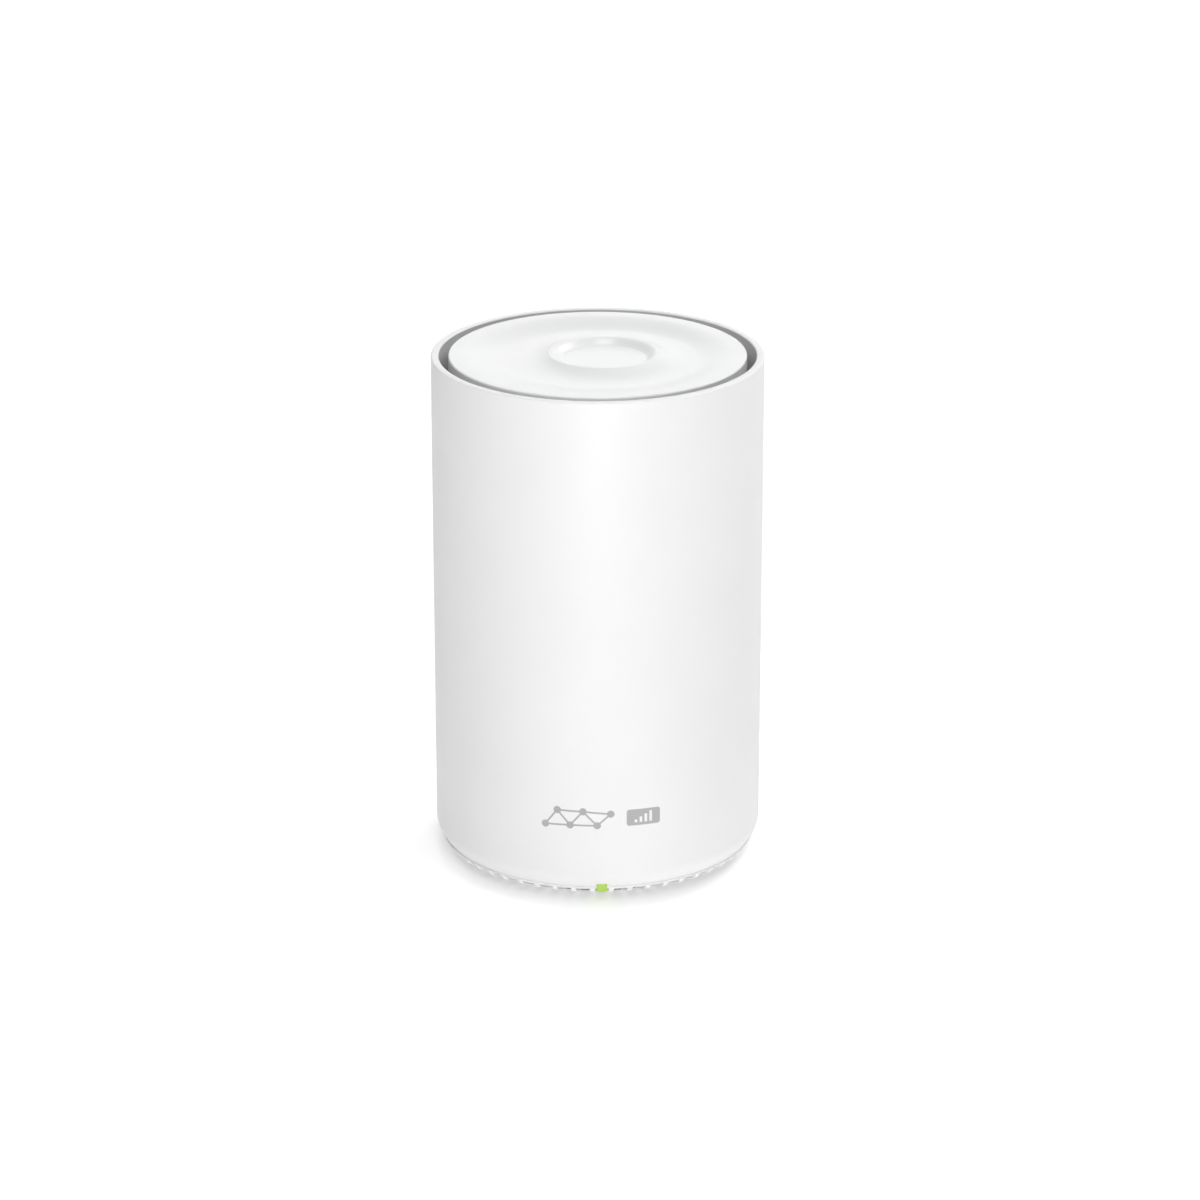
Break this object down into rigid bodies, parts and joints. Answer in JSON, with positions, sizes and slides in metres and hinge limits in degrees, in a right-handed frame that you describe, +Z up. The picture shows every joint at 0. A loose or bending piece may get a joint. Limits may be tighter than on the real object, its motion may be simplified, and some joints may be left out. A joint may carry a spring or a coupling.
{
  "type": "mesh wifi node",
  "caption": "Cylindrical white mesh wifi node with a floating dished top cover over a ring vent, a finned underside, a front status light and a recessed column of rear sockets.",
  "frame": {"origin": "on the surface it stands on, at the middle of the foot ring, under the sleeve's axis", "axes": "+Z up along the sleeve's axis, -Y towards the status light at the front, +Y towards the rear sockets, +X to the right seen from the front"},
  "size_m": [0.108, 0.108, 0.172],
  "materials": {
    "shell_white": "fine satin texture",
    "cover_white": "smooth satin",
    "base_white": "fine satin texture",
    "panel_white": "fine satin texture",
    "vent_grey": "matte, moulded",
    "foot_rubber": "matte, non-slip",
    "label_film": "printed film, blank",
    "frame_grey": "matte, moulded",
    "socket_black": "glossy moulded",
    "jack_plastic": "glossy moulded",
    "contact_gold": "gold plated",
    "stamped_steel": "tinned, stamped",
    "module_shield": "tinned, stamped",
    "card_white": "smooth card",
    "button_grey": "satin",
    "light_green": "clear light pipe glowing green",
    "board_green": "solder mask",
    "led_resin": "clear resin",
    "connector_ivory": "moulded nylon",
    "cable_grey": "insulated leads",
    "chip_black": "moulded epoxy",
    "pad_blue": "soft silicone pad",
    "sink_aluminium": "extruded, clear anodised",
    "capacitor_sleeve": "shrunk sleeve",
    "ferrite_grey": "sintered ferrite",
    "antenna_board": "solder mask over copper",
    "coax_black": "thin coaxial jacket",
    "screw_steel": "zinc plated"
  },
  "bodies": {
    "housing": {"antenna_plugs": "contact_gold", "base": "base_white", "base_screws": "screw_steel", "board_screws": "screw_steel", "capacitors": "capacitor_sleeve", "cover_screws": "screw_steel", "cpu_chip": "chip_black", "cpu_shield": "stamped_steel", "dc_jack": "socket_black", "dc_jack_pin": "contact_gold", "foot_ring": "foot_rubber", "heat_sink_left": "sink_aluminium", "heat_sink_right": "sink_aluminium", "heat_sink_screws": "screw_steel", "inductors": "ferrite_grey", "inner_frame": "frame_grey", "lan_contacts": "contact_gold", "lan_jack_lower": "jack_plastic", "lan_jack_middle": "jack_plastic", "lan_jack_upper": "jack_plastic", "lan_transformers": "chip_black", "led_board": "board_green", "led_cable": "cable_grey", "led_header": "connector_ivory", "light_pipe": "light_green", "main_board": "board_green", "memory_chips": "chip_black", "modem_antenna_cables": "coax_black", "modem_antennas": "antenna_board", "modem_module": "module_shield", "modem_pad": "pad_blue", "outer_shell": "shell_white", "panel_screws": "screw_steel", "rating_label": "label_film", "rear_panel": "panel_white", "reset_switch": "stamped_steel", "sim_socket": "stamped_steel", "status_led": "led_resin", "thermal_pads": "pad_blue", "top_cover": "cover_white", "vent_grille": "vent_grey", "wifi_antenna_cables": "coax_black", "wifi_antennas": "antenna_board", "wifi_chip": "chip_black", "wifi_shield": "stamped_steel"},
    "reset_key": {"reset_button": "button_grey", "switch_plunger": "socket_black"},
    "card": {"sim_card": "card_white"}
  },
  "joints": [
    {"name": "reset_press", "type": "slide", "parent": "housing", "child": "reset_key", "axis": [0, 0, 1], "range_m": [0, 0.0006], "stiffness_N_per_m": 2000},
    {"name": "card_slide", "type": "slide", "parent": "housing", "child": "card", "axis": [0, 1, 0], "range_m": [-0.0006, 0.018]}
  ]
}
